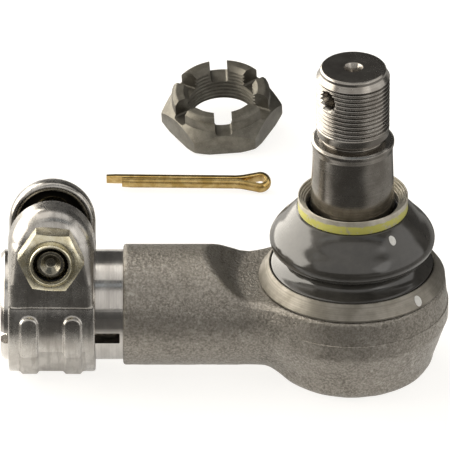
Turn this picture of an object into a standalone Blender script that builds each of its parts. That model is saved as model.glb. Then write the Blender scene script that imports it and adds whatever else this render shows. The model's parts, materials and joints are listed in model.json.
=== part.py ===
"""Tie rod end: a ball stud in a forged housing, with a dust boot, a clamp, a castle nut and a cotter pin.

Metres, +Z up. The origin is the middle of the end cover's flat underside, on the stud's axis.
The stud points up, the shank towards -X. The castle nut and the cotter pin lie loose at +Y.
"""
import bmesh
import bpy
from math import cos, pi, radians, sin, sqrt
from mathutils import Vector

MM = 0.001

# Driving dimensions, in millimetres. Heights of ball joint pieces are counted from the ball's centre.
GAP = 0.3  # between neighbouring solids
BALL_Z = 23.3  # the ball's centre above the cover's underside
BALL_R = 18.5
BALL_FLAT_Z = -16.8
STUD_NECK_R = 10.5
STUD_TOP_Z = 90.3
PILOT_R = 10.9  # the plain end above the thread
THREAD_R = 12.0
THREAD_BOTTOM_Z = 66.1
RELIEF_R = 10.3
SHOULDER_Z = 63.7
SHOULDER_R = 13.65
TAPER_TOP_Z = 60.4
TAPER_TOP_R = 13.2
TAPER_BOTTOM_Z = 35.0
TAPER_BOTTOM_R = 14.0
COTTER_HOLE_Z = 82.0
COTTER_HOLE_R = 2.9
COTTER_HOLE_EDGE_R = 3.9
COTTER_HOLE_TURN = 47.0  # degrees from -Y towards -X
CENTRE_HOLE_R = 3.15

EYE_TOP_R = 30.9
EYE_BELT_R = 31.9
EYE_BELT_Z = (-3.0, 2.5)
EYE_LOW_R = 27.3  # where the lower cone meets the rounded edge
EYE_TOP_Z = 10.8
EYE_BOTTOM_Z = -22.2
EYE_EDGE_R = 5.8
SEAT_R = 21.0
MOUTH_R = 17.3
COVER_R = 22.7
COVER_RIM_Z = (-20.6, -18.3)
COVER_FACE_R = 19.5
ROLLED_EDGE_R = 21.2

SHANK_R = 20.0
SHANK_STEP_X = 75.6
SHANK_END_R = 18.2
SHANK_END_X = 116.0
POCKET_FLOOR_R = 38.0
POCKET_EDGE_R = 47.6
BORE_R = 13.2
BORE_END_X = 64.0
SLOT_WIDTH = 4.2
SLOT_END_X = 78.7
SLOT_TURN = 8.0  # degrees below the horizontal at the front

RING_BOTTOM_Z = EYE_TOP_Z + GAP
RING_OUTER_R = 30.8
RING_TOP_R = 27.5
RING_TOP_Z = 16.3
COIL_INNER_R = 14.9
COIL_OUTER_R = 18.5
COIL_BOTTOM_Z = 37.2
COIL_INNER_TOP_Z = 39.2
COIL_OUTER_TOP_Z = 42.2

CLAMP_X = 99.15
CLAMP_LEAN = 11.0  # degrees that the bolt's front end is raised
CLAMP_HALF_WIDTH = 14.35
CLAMP_INNER_R = 18.6
CLAMP_OUTER_R = 22.3
CLAMP_SHEET = 3.4
RIB_R = 23.1
RIB_HALF_WIDTH = 2.8
RIB_OFFSET = 7.0
EAR_FACE = 21.4  # from the clamp's middle plane to an ear's outer face
EAR_RIM = 8.6
EAR_HALF_WIDTH = 14.2
BOLT_HEIGHT = 25.0  # from the shank's axis to the bolt's axis
BOLT_R = 5.85
BOLT_HOLE_R = 6.6
BOLT_HEAD_FLATS = 14.5
BOLT_HEAD_HEIGHT = 4.2
BOLT_FLANGE_R = 7.8
WASHER_R = 8.6
WASHER_HEIGHT = 1.6
NUT_FLATS = 19.0
NUT_HEX_HEIGHT = 9.2
NUT_HEIGHT = 12.0
NUT_COLLAR_R = 8.2

CASTLE_FLATS = 36.0
CASTLE_HEX_HEIGHT = 9.0
CASTLE_HEIGHT = 13.9
CASTLE_CROWN_R = 16.9
CASTLE_BORE_R = 11.2
CASTLE_SLOT_WIDTH = 6.0
CASTLE_SLOT_FLOOR = 7.9
CASTLE_PLACE = (-42.9, 156.7, 3.4)  # the middle of its underside
CASTLE_LEAN = (10.0, -2.5, 0.0)  # degrees that it leans forwards and to the left
CASTLE_TURN = 2.8
PIN_R = 2.2
PIN_PLACE = (-35.45, 116.0)
PIN_SHORT_LEG = 41.5
PIN_LONG_LEG = 46.85
PIN_EYE_LENGTH = 9.2
PIN_EYE_HALF_HEIGHT = 3.75
PIN_ROLL = 30.0  # degrees that the eye's plane stands up from the floor
PIN_HEIGHT = 3.1

COLOURS = {  # colour, metallic, roughness
    "forged_steel": ((0.16, 0.145, 0.13), 0.85, 0.6),
    "machined_steel": ((0.45, 0.43, 0.40), 1.0, 0.35),
    "stud_steel": ((0.20, 0.18, 0.16), 1.0, 0.4),
    "ring_steel": ((0.36, 0.33, 0.29), 1.0, 0.45),
    "spring_steel": ((0.30, 0.29, 0.27), 1.0, 0.4),
    "coil_steel": ((0.50, 0.47, 0.40), 1.0, 0.4),
    "seat_plastic": ((0.72, 0.70, 0.62), 0.0, 0.45),
    "liner_plastic": ((0.08, 0.08, 0.08), 0.0, 0.5),
    "boot_rubber": ((0.035, 0.033, 0.031), 0.0, 0.35),
    "seal_rubber": ((0.02, 0.02, 0.02), 0.0, 0.6),
    "clamp_steel": ((0.52, 0.51, 0.49), 1.0, 0.35),
    "zinc_yellow": ((0.62, 0.55, 0.32), 1.0, 0.35),
    "insert_nylon": ((0.04, 0.04, 0.05), 0.0, 0.5),
    "phosphate_black": ((0.05, 0.048, 0.04), 0.6, 0.55),
    "zinc_gold": ((0.72, 0.50, 0.20), 1.0, 0.3),
}


def clear_scene():
    for obj in list(bpy.data.objects):
        bpy.data.objects.remove(obj, do_unlink=True)


def new_collection(name):
    collection = bpy.data.collections.new(name)
    bpy.context.scene.collection.children.link(collection)
    return collection


def new_material(name):
    colour, metallic, roughness = COLOURS[name]
    material = bpy.data.materials.new(name)
    material.use_nodes = True
    shader = material.node_tree.nodes["Principled BSDF"]
    shader.inputs["Base Color"].default_value = (*colour, 1.0)
    shader.inputs["Metallic"].default_value = metallic
    shader.inputs["Roughness"].default_value = roughness
    material.diffuse_color = (*colour, 1.0)
    return material


clear_scene()
PARTS = new_collection("tie_rod_end")
CUTTERS = new_collection("tie_rod_end_cutters")
MATERIALS = {name: new_material(name) for name in COLOURS}


def new_object(name, mesh, parent=None, material=None, turn=(0, 0, 0), place=(0, 0, 0)):
    """An object in the parts collection, or among the cutters where it has no material."""
    obj = bpy.data.objects.new(name, mesh)
    obj.parent = parent
    obj.location = Vector(place) * MM
    obj.rotation_euler = [radians(angle) for angle in turn]
    if material:
        PARTS.objects.link(obj)
        mesh.materials.append(MATERIALS[material])
        mesh.shade_smooth()
        mesh.set_sharp_from_angle(angle=radians(35))
    else:
        CUTTERS.objects.link(obj)
        obj.hide_render = True
        obj.display_type = "WIRE"
    return obj


def new_frame(name, place, turn=(0, 0, 0), parent=None):
    frame = bpy.data.objects.new(name, None)
    frame.empty_display_size = 0.01
    frame.parent = parent
    frame.location = Vector(place) * MM
    frame.rotation_euler = [radians(angle) for angle in turn]
    PARTS.objects.link(frame)
    return frame


def mesh_from_bmesh(name, bm, scale=MM):
    bmesh.ops.scale(bm, vec=(scale, scale, scale), verts=bm.verts)
    mesh = bpy.data.meshes.new(name)
    bm.to_mesh(mesh)
    bm.free()
    return mesh


def turned(name, profile, steps, loop=False, **where):
    """A turned solid: (radius, height) points down the outer side, closed on the axis or as a loop."""
    bm = bmesh.new()
    points = [bm.verts.new((radius, 0.0, height)) for radius, height in profile]
    for first, second in zip(points, points[1:]):
        bm.edges.new((first, second))
    if loop:
        bm.edges.new((points[-1], points[0]))
    obj = new_object(name, mesh_from_bmesh(name, bm), **where)
    screw = obj.modifiers.new("turn", "SCREW")
    screw.axis = "Z"
    screw.angle = 2 * pi
    screw.steps = steps
    screw.render_steps = steps
    screw.use_merge_vertices = True
    screw.merge_threshold = 0.00001
    screw.use_smooth_shade = True
    return obj


def cylinder(name, radius, length, steps, **where):
    """A cylinder about the object's Z, its middle at the object's origin."""
    bm = bmesh.new()
    bmesh.ops.create_cone(
        bm, cap_ends=True, segments=steps, radius1=radius, radius2=radius, depth=length
    )
    return new_object(name, mesh_from_bmesh(name, bm), **where)


def box(name, low, high, **where):
    bm = bmesh.new()
    bmesh.ops.create_cube(bm, size=1.0)
    low, high = Vector(low), Vector(high)
    bmesh.ops.scale(bm, vec=high - low, verts=bm.verts)
    bmesh.ops.translate(bm, vec=(low + high) / 2, verts=bm.verts)
    return new_object(name, mesh_from_bmesh(name, bm), **where)


def curve_from(name, points, cyclic):
    """A flat curve of straight pieces through the points."""
    curve = bpy.data.curves.new(name, "CURVE")
    curve.dimensions = "2D"
    curve.fill_mode = "BOTH"
    spline = curve.splines.new("POLY")
    spline.points.add(len(points) - 1)
    for point, (x, y) in zip(spline.points, points):
        point.co = (x * MM, y * MM, 0.0, 1.0)
    spline.use_cyclic_u = cyclic
    return curve


def mesh_from_curve(name, curve):
    """The curve's solid as a closed mesh; the curve's own object is removed."""
    guide = bpy.data.objects.new(name + "_guide", curve)
    CUTTERS.objects.link(guide)
    bpy.context.view_layer.update()
    evaluated = guide.evaluated_get(bpy.context.evaluated_depsgraph_get())
    mesh = bpy.data.meshes.new_from_object(evaluated)
    bm = bmesh.new()
    bm.from_mesh(mesh)
    bpy.data.meshes.remove(mesh)
    bpy.data.objects.remove(guide, do_unlink=True)
    bmesh.ops.remove_doubles(bm, verts=bm.verts, dist=0.00001)
    bmesh.ops.dissolve_limit(bm, angle_limit=radians(0.5), verts=bm.verts, edges=bm.edges)
    bmesh.ops.recalc_face_normals(bm, faces=bm.faces)
    return mesh_from_bmesh(name, bm, 1.0)


def plate(name, outline, half_thickness, **where):
    """A flat outline in the object's XY plane, made solid to both sides of it."""
    curve = curve_from(name, outline, True)
    curve.extrude = half_thickness * MM
    return new_object(name, mesh_from_curve(name, curve), **where)


def combine(obj, other, operation="DIFFERENCE"):
    boolean = obj.modifiers.new(other.name, "BOOLEAN")
    boolean.operation = operation
    boolean.solver = "EXACT"
    boolean.object = other


def round_edges(obj, width, segments, angle=40):
    bevel = obj.modifiers.new("rounded", "BEVEL")
    bevel.width = width * MM
    bevel.segments = segments
    bevel.limit_method = "ANGLE"
    bevel.angle_limit = radians(angle)
    bevel.use_clamp_overlap = False


def arc(centre, radius, start, end, count):
    """Points of an arc from one angle to another, in degrees, both ends included."""
    angles = [radians(start + (end - start) * i / (count - 1)) for i in range(count)]
    return [(centre[0] + radius * cos(a), centre[1] + radius * sin(a)) for a in angles]


def hexagon(flats):
    return arc((0, 0), flats / sqrt(3), 0, 300, 6)


def height_on_ball(radius, at):
    return sqrt(radius * radius - at * at)


# Frames that the pieces hang from
BALL = new_frame("ball_centre", (0, 0, BALL_Z))
SHANK = new_frame("shank_axis", (0, 0, BALL_Z), turn=(0, -90, 0))
CLAMP = new_frame("clamp_frame", (-CLAMP_X, 0, BALL_Z), turn=(-CLAMP_LEAN, 0, 0))
BOLT = new_frame("bolt_axis", (0, 0, BOLT_HEIGHT), turn=(90, 0, 0), parent=CLAMP)
LARGE = 56  # steps round a large turned piece
ROUND = 32  # steps round an inner piece
SMALL = 24  # steps round a small piece


def build_housing():
    """The forging: an eye turned about the stud's axis and a shank along -X, then the machined cuts."""
    edge = (EYE_LOW_R - EYE_EDGE_R, EYE_BOTTOM_Z + EYE_EDGE_R)
    belt_low, belt_high = EYE_BELT_Z
    housing = turned(
        "housing",
        [(0, EYE_TOP_Z), (EYE_TOP_R - 0.6, EYE_TOP_Z), (EYE_TOP_R, EYE_TOP_Z - 0.6)]
        + [(EYE_BELT_R, belt_high), (EYE_BELT_R, belt_low)]
        + arc(edge, EYE_EDGE_R, 0, -90, 6)
        + [(0, EYE_BOTTOM_Z)],
        LARGE,
        parent=BALL,
        material="forged_steel",
    )
    shank = turned(
        "shank",
        [(0, SHANK_END_X), (SHANK_END_R - 1.2, SHANK_END_X), (SHANK_END_R, SHANK_END_X - 1.2)]
        + [(SHANK_END_R, SHANK_STEP_X), (SHANK_R - 0.6, SHANK_STEP_X), (SHANK_R, SHANK_STEP_X - 0.6)]
        + [(SHANK_R, 1.0), (0, 1.0)],
        48,
        parent=SHANK,
    )
    pocket = turned(
        "pocket_cutter",
        [(0, 31.0), (POCKET_EDGE_R + 8.0, 31.0), (POCKET_EDGE_R, SHANK_R)]
        + [(POCKET_EDGE_R - 4.6, 14.2), (POCKET_FLOOR_R + 2.2, 11.7), (POCKET_FLOOR_R, EYE_TOP_Z)]
        + [(0, EYE_TOP_Z)],
        LARGE,
        parent=BALL,
    )
    cavity = turned(
        "socket_cutter",
        [(0, EYE_TOP_Z + 2), (MOUTH_R + 1.0, EYE_TOP_Z + 2), (MOUTH_R + 1.0, EYE_TOP_Z)]
        + [(MOUTH_R, EYE_TOP_Z - 1.0), (MOUTH_R, 8.5), (SEAT_R + GAP, 8.5)]
        + [(SEAT_R + GAP, -16.2), (COVER_R + GAP, -16.2), (COVER_R + GAP, COVER_RIM_Z[0] - GAP)]
        + [(ROLLED_EDGE_R, COVER_RIM_Z[0] - GAP), (ROLLED_EDGE_R, EYE_BOTTOM_Z - 2)]
        + [(0, EYE_BOTTOM_Z - 2)],
        ROUND,
        parent=BALL,
    )
    bore = turned(
        "thread_bore_cutter",
        [(0, SHANK_END_X + 3), (BORE_R + 4.2, SHANK_END_X + 3), (BORE_R, SHANK_END_X - 1.2)]
        + [(BORE_R, BORE_END_X), (0, BORE_END_X - 7.0)],
        SMALL,
        parent=SHANK,
    )
    slot = box(
        "slot_cutter",
        (-SHANK_END_X - 4, -30, -SLOT_WIDTH / 2),
        (-SLOT_END_X, 30, SLOT_WIDTH / 2),
        turn=(SLOT_TURN, 0, 0),
        parent=BALL,
    )
    slot_end = cylinder(
        "slot_end_cutter", SLOT_WIDTH / 2, 60, 16, parent=BALL, turn=(SLOT_TURN + 90, 0, 0),
        place=(-SLOT_END_X, 0, 0),
    )
    combine(housing, shank, "UNION")
    for cutter in (pocket, cavity, bore, slot, slot_end):
        combine(housing, cutter)


def build_ball_stud():
    """Thread, relief, shoulder, taper, neck and ball, turned in one piece, then cross-drilled."""
    neck_z = height_on_ball(BALL_R, STUD_NECK_R)
    ball_start = 55.4  # degrees, where the neck meets the ball
    ball_end = -65.2  # degrees, where the flat cuts the ball
    stud = turned(
        "ball_stud",
        [(0, STUD_TOP_Z - 6.0), (1.6, STUD_TOP_Z - 5.2), (1.6, STUD_TOP_Z - 2.7)]
        + [(CENTRE_HOLE_R, STUD_TOP_Z), (PILOT_R - 0.4, STUD_TOP_Z), (PILOT_R, STUD_TOP_Z - 0.6)]
        + [(PILOT_R, STUD_TOP_Z - 1.6), (THREAD_R, STUD_TOP_Z - 3.2)]
        + [(THREAD_R, THREAD_BOTTOM_Z), (RELIEF_R, THREAD_BOTTOM_Z - 1.0)]
        + [(RELIEF_R, SHOULDER_Z + 0.4), (SHOULDER_R - 0.6, SHOULDER_Z), (SHOULDER_R, SHOULDER_Z - 0.6)]
        + [(SHOULDER_R, SHOULDER_Z - 1.5), (TAPER_TOP_R, TAPER_TOP_Z), (TAPER_BOTTOM_R, TAPER_BOTTOM_Z)]
        + [(TAPER_BOTTOM_R - 0.6, TAPER_BOTTOM_Z - 1.0)]
        + [(STUD_NECK_R + 1.6, 31.5), (STUD_NECK_R + 0.3, 28.5), (STUD_NECK_R, 25.0)]
        + [(STUD_NECK_R, neck_z)]
        + arc((0, 0), BALL_R, ball_start, ball_end, 13)[1:]
        + [(0, BALL_FLAT_Z)],
        ROUND,
        parent=BALL,
        material="stud_steel",
    )
    outer, edge, inner = THREAD_R + 2.0, THREAD_R, THREAD_R - 1.2
    flared_r = COTTER_HOLE_EDGE_R + (COTTER_HOLE_EDGE_R - COTTER_HOLE_R) * (outer - edge) / (edge - inner)
    hole = turned(
        "cotter_hole_cutter",
        [(0, outer), (flared_r, outer), (COTTER_HOLE_R, inner)]
        + [(COTTER_HOLE_R, -inner), (flared_r, -outer), (0, -outer)],
        20, parent=BALL, turn=(90, 0, -COTTER_HOLE_TURN), place=(0, 0, COTTER_HOLE_Z),
    )
    combine(stud, hole)


def build_ball_bearing():
    """The two bearing shells, and the spring plate, spring, cover and seal below them."""
    shell_r = BALL_R + 0.35
    upper_z, lower_z, middle = 8.2, -15.5, 0.35
    upper_end, lower_end, parting = 24.0, -53.0, 1.1  # degrees up from the ball's equator
    mouth_r = height_on_ball(shell_r, upper_z)
    turned(
        "upper_ball_seat",
        [(mouth_r, upper_z), (SEAT_R, upper_z), (SEAT_R, middle)]
        + arc((0, 0), shell_r, parting, upper_end, 4),
        ROUND, loop=True, parent=BALL, material="seat_plastic",
    )
    opening_r = height_on_ball(shell_r, lower_z)
    turned(
        "lower_ball_seat",
        [(SEAT_R, -middle), (SEAT_R, lower_z), (opening_r, lower_z)]
        + arc((0, 0), shell_r, lower_end, -parting, 7),
        ROUND, loop=True, parent=BALL, material="seat_plastic",
    )
    plate_top = lower_z - GAP
    plate_bottom = plate_top - 1.0
    plate_inner, plate_outer = 11.0, SEAT_R - 0.4
    turned(
        "spring_plate",
        [(plate_inner, plate_top), (plate_outer, plate_top)]
        + [(plate_outer, plate_bottom), (plate_inner, plate_bottom)],
        ROUND, loop=True, parent=BALL, material="spring_steel",
    )
    spring_top = plate_bottom - GAP
    spring_drop, spring_sheet = 1.6, 1.3  # a disc spring: how far it cups, and its sheet
    spring_inner, spring_outer = 11.5, 17.0
    turned(
        "preload_spring",
        [(spring_inner, spring_top), (spring_inner + 1.0, spring_top)]
        + [(spring_outer, spring_top - spring_drop)]
        + [(spring_outer, spring_top - spring_drop - spring_sheet)]
        + [(spring_outer - 1.0, spring_top - spring_drop - spring_sheet)]
        + [(spring_inner, spring_top - spring_sheet)],
        ROUND, loop=True, parent=BALL, material="spring_steel",
    )
    low, high = COVER_RIM_Z
    turned(
        "end_cover",
        [(0, -20.4), (COVER_FACE_R - 1.9, -20.4), (COVER_FACE_R - 0.9, high), (COVER_R, high)]
        + [(COVER_R, low), (COVER_FACE_R + 1.4, low), (COVER_FACE_R, -BALL_Z), (0, -BALL_Z)],
        LARGE, parent=BALL, material="ring_steel",
    )
    turned(
        "cover_seal",
        arc((22.1, -17.25), 0.75, 0, -300, 6),
        ROUND, loop=True, parent=BALL, material="seal_rubber",
    )


def build_boot():
    """Base ring, foot ring, boot of one bulge, neck liner and the coil that clamps the neck."""
    turned(
        "boot_base_ring",
        [(27.0, RING_TOP_Z), (RING_TOP_R, RING_TOP_Z), (RING_OUTER_R, RING_BOTTOM_Z + 0.5)]
        + [(RING_OUTER_R, RING_BOTTOM_Z), (28.3, RING_BOTTOM_Z), (28.3, 14.2), (27.0, 14.8)],
        LARGE, loop=True, parent=BALL, material="ring_steel",
    )
    turned(
        "boot_foot_ring",
        arc((24.4, 12.5), 1.0, 0, -300, 6),
        ROUND, loop=True, parent=BALL, material="spring_steel",
    )
    outside = [(15.1, 36.9), (18.6, 36.9), (20.1, 35.6), (21.6, 34.0), (23.2, 32.0), (25.6, 29.5)]
    outside += [(27.0, 27.2), (27.2, 25.7), (27.0, 24.4), (25.1, 22.3), (23.3, 21.0), (22.7, 19.9)]
    outside += [(23.1, 18.8), (24.6, 17.4), (26.6, 16.4), (26.6, 14.6), (27.9, 13.9), (27.9, 11.3)]
    inside = [(25.8, 11.3), (25.8, 13.6), (24.4, 14.6), (22.8, 15.8), (21.1, 17.8), (20.7, 19.9)]
    inside += [(21.4, 21.8), (23.6, 23.6), (25.2, 25.0), (25.3, 26.2), (23.9, 28.6), (21.6, 31.0)]
    inside += [(20.0, 33.0), (18.7, 34.3), (17.4, 34.9), (17.0, 34.5), (17.0, 32.6), (16.4, 32.6)]
    inside += [(16.4, 36.2), (15.1, 36.4)]
    turned(
        "dust_boot", outside + inside, ROUND, loop=True, parent=BALL, material="boot_rubber",
    )
    turned(
        "boot_neck_liner",
        [(15.1, 35.9), (16.1, 35.9), (16.1, 32.4), (15.4, 32.4), (15.4, 34.0), (15.1, 34.4)],
        ROUND, loop=True, parent=BALL, material="liner_plastic",
    )
    turned(
        "boot_neck_coil",
        [(COIL_INNER_R, COIL_INNER_TOP_Z), (COIL_INNER_R + 0.6, COIL_INNER_TOP_Z)]
        + [(COIL_OUTER_R - 0.6, COIL_OUTER_TOP_Z), (COIL_OUTER_R, COIL_OUTER_TOP_Z)]
        + [(COIL_OUTER_R, COIL_BOTTOM_Z), (COIL_INNER_R, COIL_BOTTOM_Z)],
        ROUND, loop=True, parent=BALL, material="coil_steel",
    )


def ear_outline(half_width, foot):
    """An arch about the bolt's axis that stands on a straight foot, in the ear's plane."""
    arch = arc((0, BOLT_HEIGHT), half_width, 0, 180, 13)
    return [(half_width, foot)] + arch + [(-half_width, foot)]


def build_clamp_band():
    """Sheet wrapped round the shank's end, with two cupped ears that stand up from it."""
    across = (90, 0, 0)  # stands an outline up in the clamp's XZ plane
    band = cylinder(
        "clamp_band", CLAMP_OUTER_R, 2 * CLAMP_HALF_WIDTH, 48, parent=CLAMP, turn=(0, 90, 0),
        material="clamp_steel",
    )
    ears = plate("ears", ear_outline(EAR_HALF_WIDTH, 2.0), EAR_FACE, parent=CLAMP, turn=across)
    round_edges(ears, 6.0, 3)
    hollow = plate(
        "ear_hollow_cutter", ear_outline(EAR_HALF_WIDTH - CLAMP_SHEET, 6.0),
        EAR_FACE - CLAMP_SHEET, parent=CLAMP, turn=across,
    )
    round_edges(hollow, 3.0, 2)
    gap = box(
        "ear_gap_cutter",
        (-CLAMP_HALF_WIDTH - 5, -EAR_RIM, 10.0),
        (CLAMP_HALF_WIDTH + 5, EAR_RIM, BOLT_HEIGHT + 25.0),
        parent=CLAMP,
    )
    shank_room = cylinder(
        "shank_room_cutter", CLAMP_INNER_R, 4 * CLAMP_HALF_WIDTH, 48, parent=CLAMP, turn=(0, 90, 0)
    )
    bolt_hole = cylinder("bolt_hole_cutter", BOLT_HOLE_R, 60, 24, parent=BOLT)
    combine(band, ears, "UNION")
    for side in (-1, 1):
        rib = turned(
            "rib",
            [(20.5, RIB_HALF_WIDTH), (22.1, RIB_HALF_WIDTH), (RIB_R, RIB_HALF_WIDTH - 1.4)]
            + [(RIB_R, 1.4 - RIB_HALF_WIDTH), (22.1, -RIB_HALF_WIDTH), (20.5, -RIB_HALF_WIDTH)],
            48, loop=True, parent=CLAMP, turn=(0, 90, 0), place=(side * RIB_OFFSET, 0, 0),
        )
        top = box("rib_top_cutter", (-20, -30, 3.0), (20, 30, 40), parent=CLAMP)
        combine(rib, top)
        combine(band, rib, "UNION")
    for cutter in (hollow, gap, shank_room, bolt_hole):
        combine(band, cutter)


def build_clamp_fasteners():
    """Bolt, washer, lock nut and its insert, along the bolt frame's Z: the nut's end is +Z."""
    seat = EAR_FACE + GAP
    head_z = -seat - WASHER_HEIGHT - GAP
    tip_z = seat + NUT_HEIGHT - 0.8
    bolt = turned(
        "clamp_bolt",
        [(0, tip_z), (BOLT_R - 1.1, tip_z), (BOLT_R, tip_z - 1.1), (BOLT_R, head_z)]
        + [(BOLT_FLANGE_R, head_z), (BOLT_FLANGE_R, head_z - 1.0), (0, head_z - 1.0)],
        SMALL, parent=BOLT, material="zinc_yellow",
    )
    head = plate(
        "bolt_head", hexagon(BOLT_HEAD_FLATS), BOLT_HEAD_HEIGHT / 2, parent=BOLT,
        place=(0, 0, head_z - 0.6 - BOLT_HEAD_HEIGHT / 2),
    )
    combine(bolt, head, "UNION")
    turned(
        "clamp_washer",
        [(BOLT_R + GAP, -seat), (WASHER_R, -seat), (WASHER_R, -seat - WASHER_HEIGHT)]
        + [(BOLT_R + GAP, -seat - WASHER_HEIGHT)],
        SMALL, loop=True, parent=BOLT, material="zinc_yellow",
    )
    nut = plate(
        "clamp_nut", hexagon(NUT_FLATS), NUT_HEX_HEIGHT / 2, parent=BOLT, turn=(0, 0, -4),
        place=(0, 0, seat + NUT_HEX_HEIGHT / 2), material="zinc_yellow",
    )
    round_edges(nut, 0.5, 1, angle=80)
    top = NUT_HEIGHT - NUT_HEX_HEIGHT / 2
    base = NUT_HEX_HEIGHT / 2
    collar = turned(
        "nut_collar",
        [(0, top), (NUT_COLLAR_R - 1.1, top), (NUT_COLLAR_R, top - 1.1), (NUT_COLLAR_R, base - 1.0)]
        + [(0, base - 1.0)],
        SMALL, parent=nut,
    )
    bore = turned(
        "nut_bore_cutter",
        [(0, top + 2), (6.5, top + 2), (6.5, top - 0.7), (7.2, top - 0.7), (7.2, top - 3.1)]
        + [(BOLT_R + GAP, top - 3.1), (BOLT_R + GAP, -base - 2), (0, -base - 2)],
        SMALL, parent=nut,
    )
    combine(nut, collar, "UNION")
    combine(nut, bore)
    insert_top = seat + NUT_HEIGHT - 1.0
    turned(
        "clamp_nut_insert",
        [(BOLT_R + GAP, insert_top), (6.9, insert_top), (6.9, insert_top - 1.8)]
        + [(BOLT_R + GAP, insert_top - 1.8)],
        SMALL, loop=True, parent=BOLT, material="insert_nylon",
    )


def build_castle_nut():
    """A hexagon with a round crown on it, a bore and six slots, lying loose and leaning."""
    corner_r = CASTLE_FLATS / sqrt(3)
    base = CASTLE_HEX_HEIGHT / 2
    crown_top = CASTLE_HEIGHT - base
    underside = new_frame("castle_nut_underside", CASTLE_PLACE, turn=CASTLE_LEAN)
    nut = plate(
        "castle_nut", hexagon(CASTLE_FLATS), base, parent=underside, turn=(0, 0, CASTLE_TURN),
        place=(0, 0, base), material="phosphate_black",
    )
    corners = turned(
        "castle_corner_guide",
        [(0, base + 1), (CASTLE_CROWN_R - 0.7, base + 1), (corner_r - 0.1, base - 3.9)]
        + [(corner_r - 0.1, 1.2 - base), (corner_r - 3.4, -base - 1), (0, -base - 1)],
        ROUND, parent=nut,
    )
    crown = turned(
        "castle_crown",
        [(0, crown_top), (CASTLE_CROWN_R - 1.6, crown_top), (CASTLE_CROWN_R - 0.6, crown_top - 0.5)]
        + [(CASTLE_CROWN_R, crown_top - 1.8), (CASTLE_CROWN_R, base - 1.0), (0, base - 1.0)],
        ROUND, parent=nut,
    )
    bore = turned(
        "castle_bore_cutter",
        [(0, crown_top + 2), (CASTLE_BORE_R + 3.0, crown_top + 2), (CASTLE_BORE_R, crown_top - 1.0)]
        + [(CASTLE_BORE_R, 0.4 - base), (CASTLE_BORE_R + 2.4, -base - 2), (0, -base - 2)],
        ROUND, parent=nut,
    )
    combine(nut, corners, "INTERSECT")
    combine(nut, crown, "UNION")
    combine(nut, bore)
    half = CASTLE_SLOT_WIDTH / 2
    floor = CASTLE_SLOT_FLOOR - base
    for i in range(3):
        slot = box(
            "castle_slot_cutter", (-30, -half, floor), (30, half, crown_top + 5),
            parent=nut, turn=(0, 0, 30 + 60 * i),
        )
        combine(nut, slot)


def build_cotter_pin():
    """A half-round wire folded on itself: two legs and an eye, lying loose beside the shank."""
    half_gap = 0.1
    eye_r = PIN_EYE_HALF_HEIGHT - PIN_R  # the wire's flat lies along the path
    centre_x = PIN_EYE_LENGTH - PIN_EYE_HALF_HEIGHT
    eye = arc((centre_x, 0), eye_r, -115, 115, 13)
    bend = [(-2.6, half_gap), (0.0, 0.4), (2.4, 1.0)]
    upper = [(-PIN_LONG_LEG, half_gap)] + bend
    lower = [(-PIN_SHORT_LEG, -half_gap)] + [(x, -y) for x, y in bend]
    path = lower + eye + upper[::-1]
    half_round = arc((0, 0), PIN_R, -90, 90, 9)
    section = bpy.data.objects.new("pin_section_guide", curve_from("section", half_round, True))
    CUTTERS.objects.link(section)
    section.hide_render = True
    wire = curve_from("cotter_pin", path, False)
    wire.bevel_mode = "OBJECT"
    wire.bevel_object = section
    wire.use_fill_caps = True
    new_object(
        "cotter_pin", mesh_from_curve("cotter_pin", wire), material="zinc_gold",
        turn=(PIN_ROLL, 0, 0), place=(*PIN_PLACE, PIN_HEIGHT),
    )


build_housing()
build_ball_stud()
build_ball_bearing()
build_boot()
build_clamp_band()
build_clamp_fasteners()
build_castle_nut()
build_cotter_pin()
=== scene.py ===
"""Looks of the tie rod end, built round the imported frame. Lengths are in millimetres until a mesh is made."""
import json

from math import atan2, cos, pi, radians, sin, sqrt

import bpy
import numpy as np
from mathutils import Euler, Matrix, Vector


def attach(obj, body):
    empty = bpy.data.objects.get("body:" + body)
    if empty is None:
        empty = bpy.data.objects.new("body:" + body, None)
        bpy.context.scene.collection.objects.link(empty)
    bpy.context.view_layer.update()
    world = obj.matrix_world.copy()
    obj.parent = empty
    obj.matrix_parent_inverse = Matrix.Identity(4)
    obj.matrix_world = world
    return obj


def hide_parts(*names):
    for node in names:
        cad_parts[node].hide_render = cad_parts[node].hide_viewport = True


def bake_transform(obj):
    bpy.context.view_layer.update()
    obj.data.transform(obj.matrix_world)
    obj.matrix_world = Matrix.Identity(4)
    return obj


MM = 0.001
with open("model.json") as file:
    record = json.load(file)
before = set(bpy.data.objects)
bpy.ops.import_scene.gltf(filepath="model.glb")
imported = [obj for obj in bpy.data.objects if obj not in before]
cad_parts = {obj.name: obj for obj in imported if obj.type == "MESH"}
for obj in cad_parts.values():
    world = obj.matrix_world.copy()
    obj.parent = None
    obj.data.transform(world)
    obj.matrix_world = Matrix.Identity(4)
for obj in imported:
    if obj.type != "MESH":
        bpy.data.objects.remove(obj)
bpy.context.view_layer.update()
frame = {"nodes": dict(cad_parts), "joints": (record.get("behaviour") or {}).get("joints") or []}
JOINTS = {joint["name"]: joint for joint in frame["joints"]}


def joint_place(name):
    """Where a joint is, in millimetres."""
    return Vector(JOINTS[name]["pos_m"]) / MM


BALL = Matrix.Translation(joint_place("stud_tilt"))
SHANK = BALL @ Matrix.Rotation(radians(-90), 4, "Y")
BOLT_AXIS = Vector(JOINTS["bolt_turn"]["axis"])
CLAMP_LEAN = atan2(BOLT_AXIS.z, -BOLT_AXIS.y)
CLAMP = Matrix.Translation(joint_place("clamp_turn")) @ Matrix.Rotation(-CLAMP_LEAN, 4, "X")
BOLT = Matrix.Translation(joint_place("bolt_turn")) @ Matrix.Rotation(pi / 2 - CLAMP_LEAN, 4, "X")

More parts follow.
